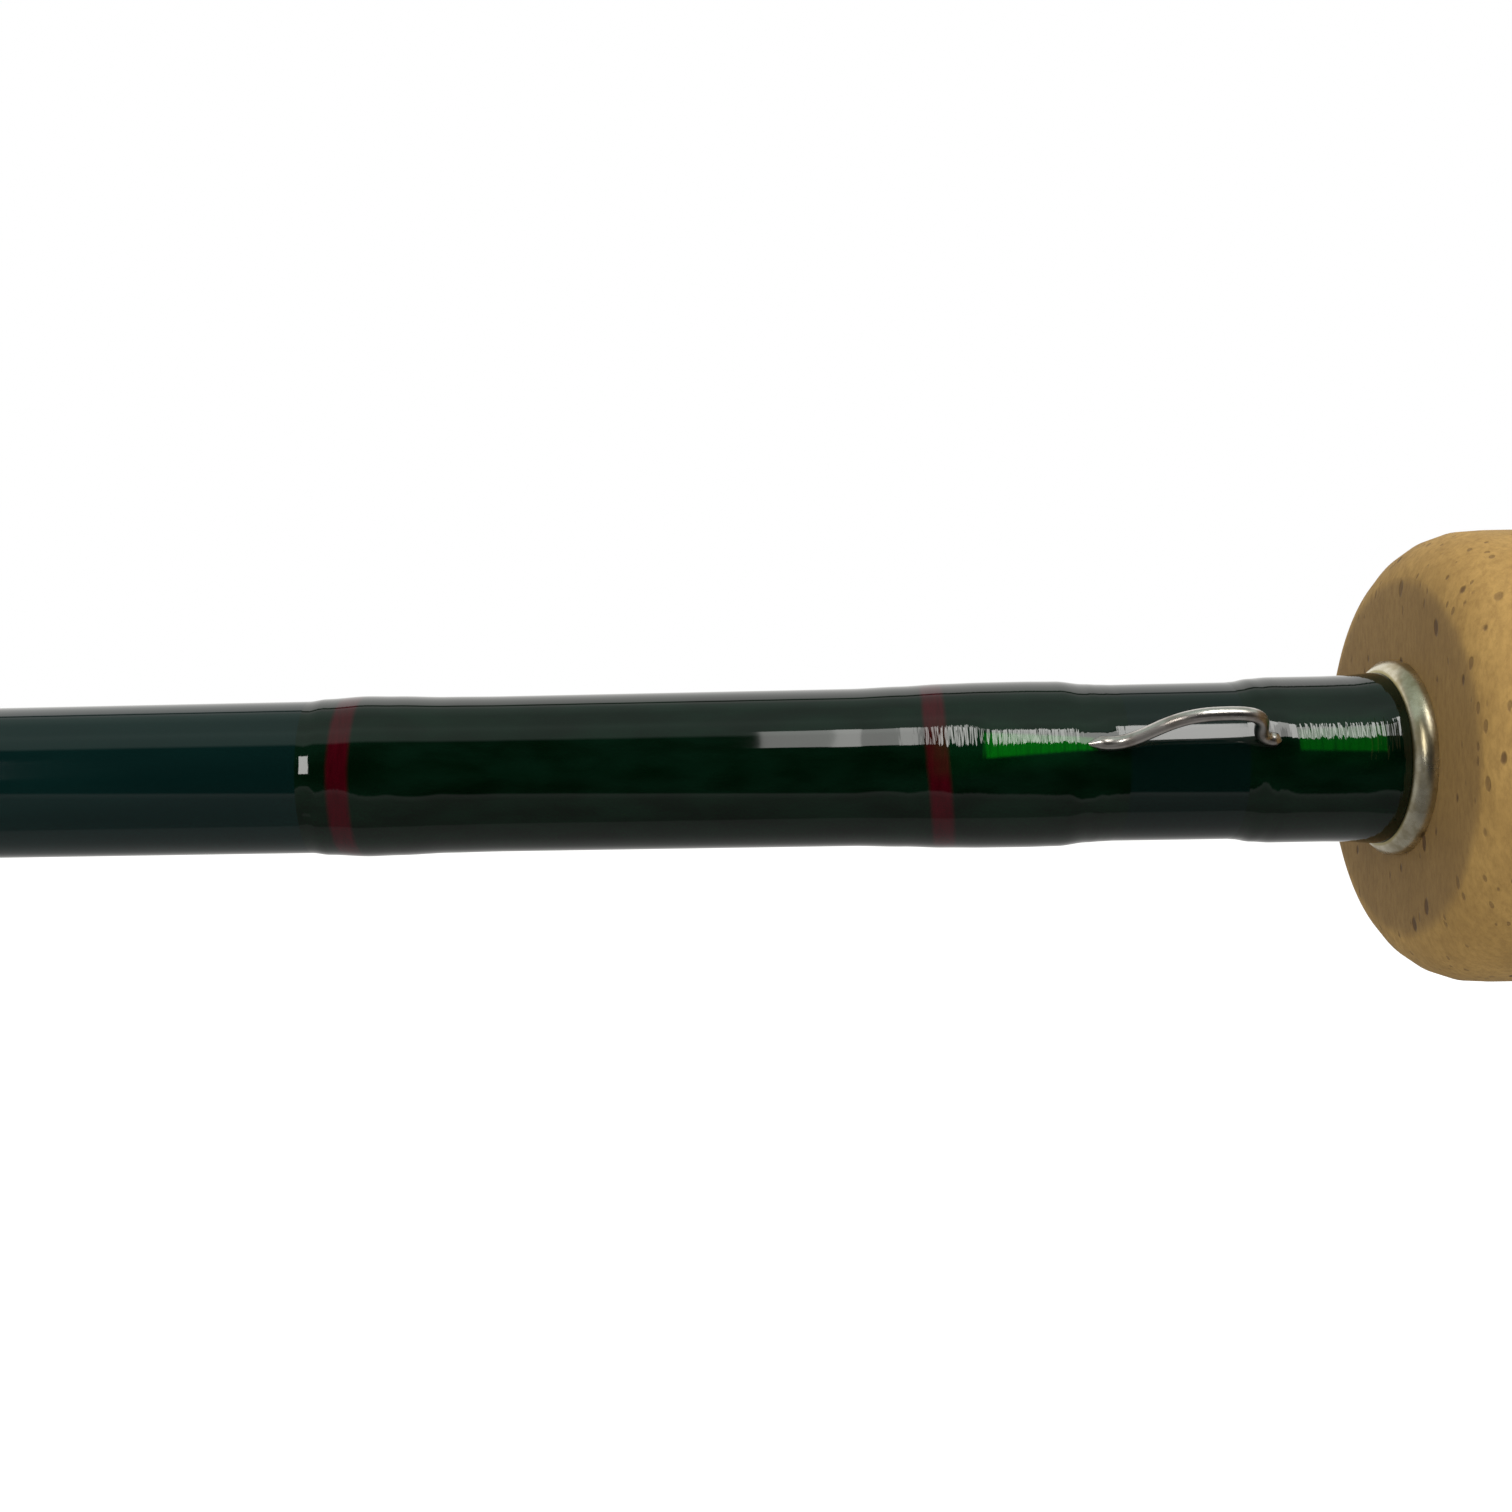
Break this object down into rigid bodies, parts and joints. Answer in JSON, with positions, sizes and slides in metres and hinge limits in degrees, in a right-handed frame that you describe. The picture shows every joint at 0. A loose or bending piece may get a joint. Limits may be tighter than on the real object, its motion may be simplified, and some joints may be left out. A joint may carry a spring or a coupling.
{
  "type": "fly fishing rod",
  "caption": "Fly rod in sleeve-jointed sections, with a cork grip, an up-locking reel seat, a wire hook keeper, a stripping guide, snake guides and a tip-top.",
  "frame": {"origin": "centre of the butt cap's flat rear face, on the rod's axis", "axes": "+X runs along the rod from the butt cap to the tip, the guides and the reel foot are on the -Z side, and the hook keeper stands out towards +Y and a little up"},
  "size_m": [2.744, 0.0268, 0.034],
  "materials": {
    "blank_lacquer": "dark blue-green lacquer over graphite, high gloss",
    "wrap_thread": "very dark green thread under thick clear epoxy",
    "trim_thread": "crimson thread under clear epoxy",
    "grip_cork": "sanded natural cork with short dark pores",
    "bushing_cork": "raw cork shims, hidden in the reel seat",
    "nickel_silver": "polished nickel silver",
    "guide_wire": "hard chromed stainless wire",
    "ring_ceramic": "polished dark grey ceramic",
    "reel_seat_wood": "oiled dark hardwood under varnish"
  },
  "bodies": {
    "butt_section": {"butt_cap": "nickel_silver", "threaded_barrel": "nickel_silver", "wood_insert": "reel_seat_wood", "fixed_hood": "nickel_silver", "seat_bushings": "bushing_cork", "butt_blank": "blank_lacquer", "cork_ring_1": "grip_cork", "cork_ring_2": "grip_cork", "cork_ring_3": "grip_cork", "cork_ring_4": "grip_cork", "cork_ring_5": "grip_cork", "cork_ring_6": "grip_cork", "cork_ring_7": "grip_cork", "cork_ring_8": "grip_cork", "cork_ring_9": "grip_cork", "cork_ring_10": "grip_cork", "cork_ring_11": "grip_cork", "cork_ring_12": "grip_cork", "cork_ring_13": "grip_cork", "cork_ring_14": "grip_cork", "winding_check": "nickel_silver", "hook_keeper": "guide_wire", "keeper_rear_wrap": "wrap_thread", "keeper_front_wrap": "wrap_thread", "signature_wrap": "wrap_thread", "keeper_trim_bands": "trim_thread", "stripping_guide_frame": "guide_wire", "stripping_guide_ring": "ring_ceramic", "stripping_guide_wraps": "wrap_thread"},
    "reel_hood": {"sliding_hood": "nickel_silver"},
    "seat_nut": {"lock_nut": "nickel_silver"},
    "lower_mid_section": {"lower_mid_blank": "blank_lacquer", "ferrule_wrap_1": "wrap_thread", "snake_guide_1": "guide_wire", "snake_guide_2": "guide_wire", "snake_guide_wraps_1": "wrap_thread", "snake_guide_wraps_2": "wrap_thread"},
    "upper_mid_section": {"upper_mid_blank": "blank_lacquer", "ferrule_wrap_2": "wrap_thread", "snake_guide_3": "guide_wire", "snake_guide_4": "guide_wire", "snake_guide_5": "guide_wire", "snake_guide_wraps_3": "wrap_thread", "snake_guide_wraps_4": "wrap_thread", "snake_guide_wraps_5": "wrap_thread"},
    "tip_section": {"tip_blank": "blank_lacquer", "ferrule_wrap_3": "wrap_thread", "tip_top": "guide_wire", "tip_top_wrap": "wrap_thread", "snake_guide_6": "guide_wire", "snake_guide_7": "guide_wire", "snake_guide_8": "guide_wire", "snake_guide_9": "guide_wire", "snake_guide_wraps_6": "wrap_thread", "snake_guide_wraps_7": "wrap_thread", "snake_guide_wraps_8": "wrap_thread", "snake_guide_wraps_9": "wrap_thread"}
  },
  "joints": [
    {"name": "hood_slide", "type": "slide", "parent": "butt_section", "child": "reel_hood", "axis": [1, 0, 0], "range_m": [0, 0.012]},
    {"name": "nut_turn", "type": "hinge", "parent": "reel_hood", "child": "seat_nut", "pos_m": [0.0265, 0, 0], "axis": [1, 0, 0], "range_deg": [0, 2880]},
    {"name": "butt_ferrule_slide", "type": "slide", "parent": "butt_section", "child": "lower_mid_section", "axis": [1, 0, 0], "range_m": [0, 0.07]},
    {"name": "middle_ferrule_slide", "type": "slide", "parent": "lower_mid_section", "child": "upper_mid_section", "axis": [1, 0, 0], "range_m": [0, 0.062]},
    {"name": "tip_ferrule_slide", "type": "slide", "parent": "upper_mid_section", "child": "tip_section", "axis": [1, 0, 0], "range_m": [0, 0.055]}
  ],
  "couplings": [
    {"joint": "hood_slide", "follows": "nut_turn", "m_per_rad": 0.00023873}
  ]
}
